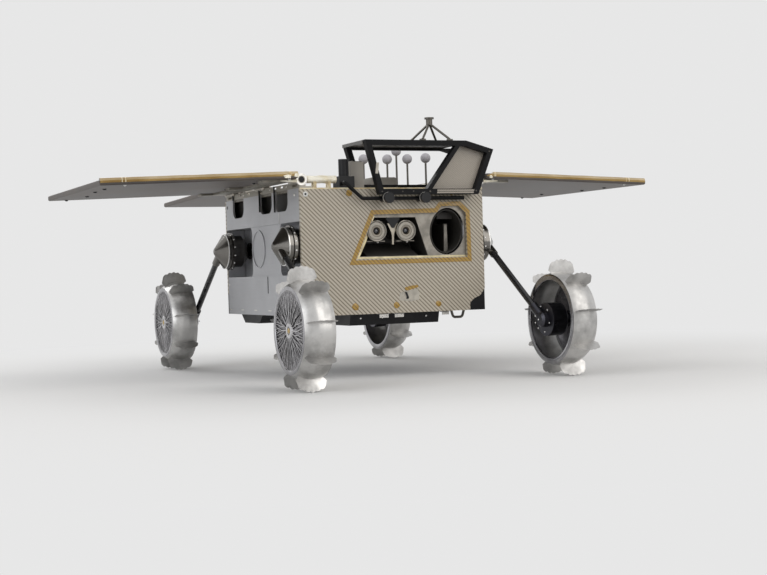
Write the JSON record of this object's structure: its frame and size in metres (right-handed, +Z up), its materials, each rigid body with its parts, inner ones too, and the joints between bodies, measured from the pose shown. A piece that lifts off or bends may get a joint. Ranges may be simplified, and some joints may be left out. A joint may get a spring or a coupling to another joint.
{
  "type": "planetary rover prototype",
  "caption": "Small box-bodied planetary rover on swinging legs with fan-bladed metal wheels, hinged solar wings, a camera window and a lifting rig on its deck.",
  "frame": {"origin": "middle of the footprint, on the ground under the wheels' blade tips", "axes": "+Z up, -Y is the rover's front (the camera window), +X its own left-hand side"},
  "size_m": [1.0972, 1.0776, 0.4833],
  "materials": {
    "bezel_grey": "dull grey",
    "black_fittings": "black, satin",
    "camera_metal": "satin turned metal",
    "dark_metal": "dark turned metal",
    "dark_tube": "dark grey",
    "gold": "gold film",
    "grey_boxes": "grey, matt",
    "leg_carbon": "black laminate tube, glossy",
    "marker_white": "pale grey, matt",
    "rig_black": "black, satin",
    "twill": "satin cured twill laminate, warm grey",
    "wall_metal": "satin bare metal",
    "wheel_metal": "polished",
    "wing_skin": "tan sandwich panel, satin"
  },
  "bodies": {
    "chassis": {"belly": "wall_metal", "belly_skid": "dark_metal", "belly_units": "black_fittings", "bezel": "bezel_grey", "camera_bay": "black_fittings", "camera_left": "camera_metal", "camera_right": "camera_metal", "corner_brackets": "black_fittings", "deck": "twill", "deck_boxes": "grey_boxes", "deck_tube": "gold", "front_panel": "twill", "lifting_tripod": "dark_metal", "marker_balls": "marker_white", "marker_stems": "dark_metal", "rear_panel": "twill", "rig_clamps": "black_fittings", "rig_front_frame": "rig_black", "rig_gusset": "twill", "rig_rear_frame": "rig_black", "rig_tie_rod": "rig_black", "rig_top_plate": "rig_black", "service_block": "grey_boxes", "shoulder_front_left": "dark_metal", "shoulder_front_right": "dark_metal", "shoulder_rear_left": "dark_metal", "shoulder_rear_right": "dark_metal", "side_pods": "black_fittings", "side_wall_left": "wall_metal", "side_wall_right": "wall_metal", "umbilical_socket": "black_fittings", "view_tube": "dark_tube", "wing_hinge_left": "dark_metal", "wing_hinge_rear": "dark_metal", "wing_hinge_right": "dark_metal"},
    "leg_front_left": {"shoulder_cap_front_left": "dark_metal", "leg_tube_front_left": "leg_carbon", "wheel_drive_front_left": "dark_metal"},
    "wheel_front_left": {"wheel_front_left": "wheel_metal"},
    "leg_front_right": {"shoulder_cap_front_right": "dark_metal", "leg_tube_front_right": "leg_carbon", "wheel_drive_front_right": "dark_metal"},
    "wheel_front_right": {"wheel_front_right": "wheel_metal"},
    "leg_rear_left": {"shoulder_cap_rear_left": "dark_metal", "leg_tube_rear_left": "leg_carbon", "wheel_drive_rear_left": "dark_metal"},
    "wheel_rear_left": {"wheel_rear_left": "wheel_metal"},
    "leg_rear_right": {"shoulder_cap_rear_right": "dark_metal", "leg_tube_rear_right": "leg_carbon", "wheel_drive_rear_right": "dark_metal"},
    "wheel_rear_right": {"wheel_rear_right": "wheel_metal"},
    "solar_wing_left": {"wing_left": "wing_skin", "wing_arms_left": "gold"},
    "solar_wing_right": {"wing_right": "wing_skin", "wing_arms_right": "gold"},
    "solar_wing_rear": {"wing_rear": "wing_skin", "wing_arms_rear": "gold"}
  },
  "joints": [
    {"name": "leg_swing_front_left", "type": "hinge", "parent": "chassis", "child": "leg_front_left", "pos_m": [0.211, -0.2183, 0.24726], "axis": [1, 0, 0], "range_deg": [-46, 56]},
    {"name": "leg_swing_front_right", "type": "hinge", "parent": "chassis", "child": "leg_front_right", "pos_m": [-0.211, -0.2183, 0.24726], "axis": [1, 0, 0], "range_deg": [-46, 56]},
    {"name": "leg_swing_rear_left", "type": "hinge", "parent": "chassis", "child": "leg_rear_left", "pos_m": [0.211, 0.1337, 0.24726], "axis": [-1, 0, 0], "range_deg": [-46, 56]},
    {"name": "leg_swing_rear_right", "type": "hinge", "parent": "chassis", "child": "leg_rear_right", "pos_m": [-0.211, 0.1337, 0.24726], "axis": [-1, 0, 0], "range_deg": [-46, 56]},
    {"name": "wheel_spin_front_left", "type": "hinge", "parent": "leg_front_left", "child": "wheel_front_left", "pos_m": [0.251, -0.4323, 0.10176], "axis": [1, 0, 0], "continuous": true},
    {"name": "wheel_spin_front_right", "type": "hinge", "parent": "leg_front_right", "child": "wheel_front_right", "pos_m": [-0.251, -0.4323, 0.10176], "axis": [1, 0, 0], "continuous": true},
    {"name": "wheel_spin_rear_left", "type": "hinge", "parent": "leg_rear_left", "child": "wheel_rear_left", "pos_m": [0.251, 0.3477, 0.10176], "axis": [1, 0, 0], "continuous": true},
    {"name": "wheel_spin_rear_right", "type": "hinge", "parent": "leg_rear_right", "child": "wheel_rear_right", "pos_m": [-0.251, 0.3477, 0.10176], "axis": [1, 0, 0], "continuous": true},
    {"name": "wing_fold_left", "type": "hinge", "parent": "chassis", "child": "solar_wing_left", "pos_m": [0.18, -0.0423, 0.36626], "axis": [0, -1, 0], "range_deg": [0, 45]},
    {"name": "wing_fold_right", "type": "hinge", "parent": "chassis", "child": "solar_wing_right", "pos_m": [-0.18, -0.0423, 0.36626], "axis": [0, 1, 0], "range_deg": [0, 45]},
    {"name": "wing_fold_rear", "type": "hinge", "parent": "chassis", "child": "solar_wing_rear", "pos_m": [0, 0.1707, 0.36626], "axis": [1, 0, 0], "range_deg": [0, 45]}
  ]
}
